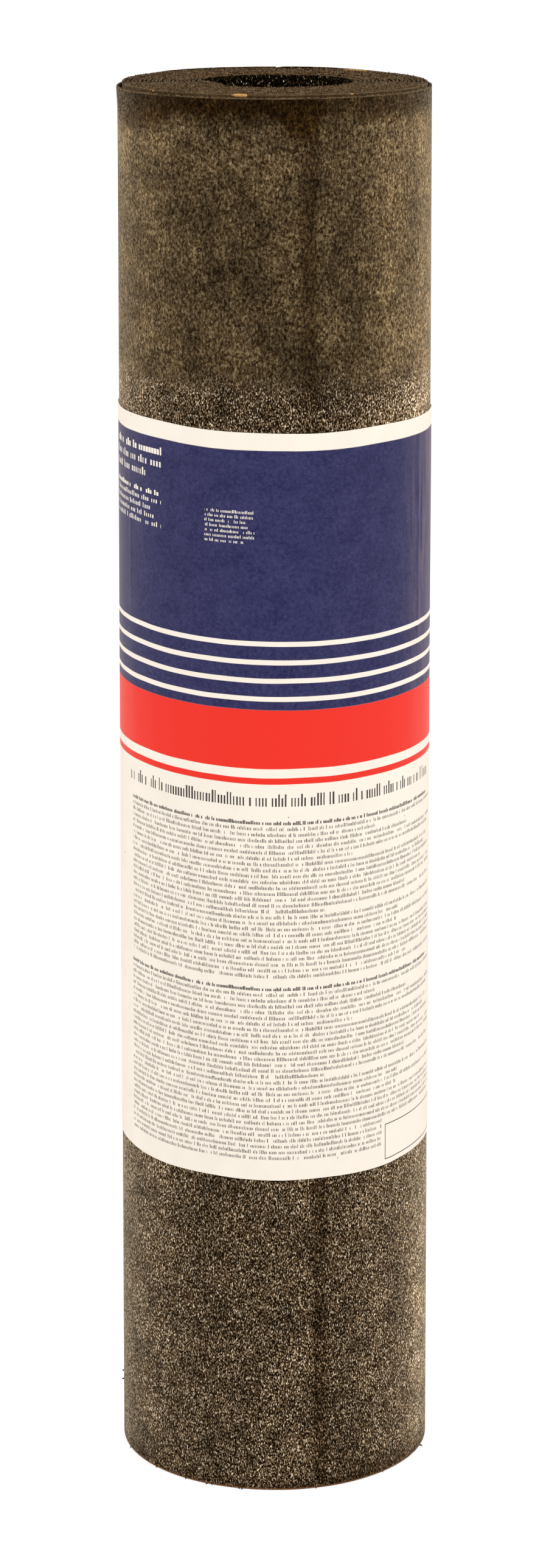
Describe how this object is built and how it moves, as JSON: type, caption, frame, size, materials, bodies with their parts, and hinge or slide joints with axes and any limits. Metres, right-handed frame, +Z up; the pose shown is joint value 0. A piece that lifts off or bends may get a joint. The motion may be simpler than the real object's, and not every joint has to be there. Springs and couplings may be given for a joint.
{
  "type": "roll of roofing felt",
  "caption": "Upright roll of granule-surfaced bituminous roofing felt with an open bore, wound turns showing on both ends, and a paper wrapper pasted round its middle.",
  "frame": {"origin": "on the floor, under the middle of the roll's footprint", "axes": "+Z up along the roll, and -Y out of the front, with the sheet's outer end at the back (+Y)"},
  "size_m": [0.2248, 0.2262, 1],
  "materials": {
    "granule_felt": "bituminous felt surfaced with brown mineral granules, matte and gritty",
    "wrapper_paper": "uncoated white wrapping paper with a dark blue panel, matte"
  },
  "bodies": {
    "root": {"felt_roll": "granule_felt", "paper_wrapper": "wrapper_paper"}
  },
  "joints": []
}
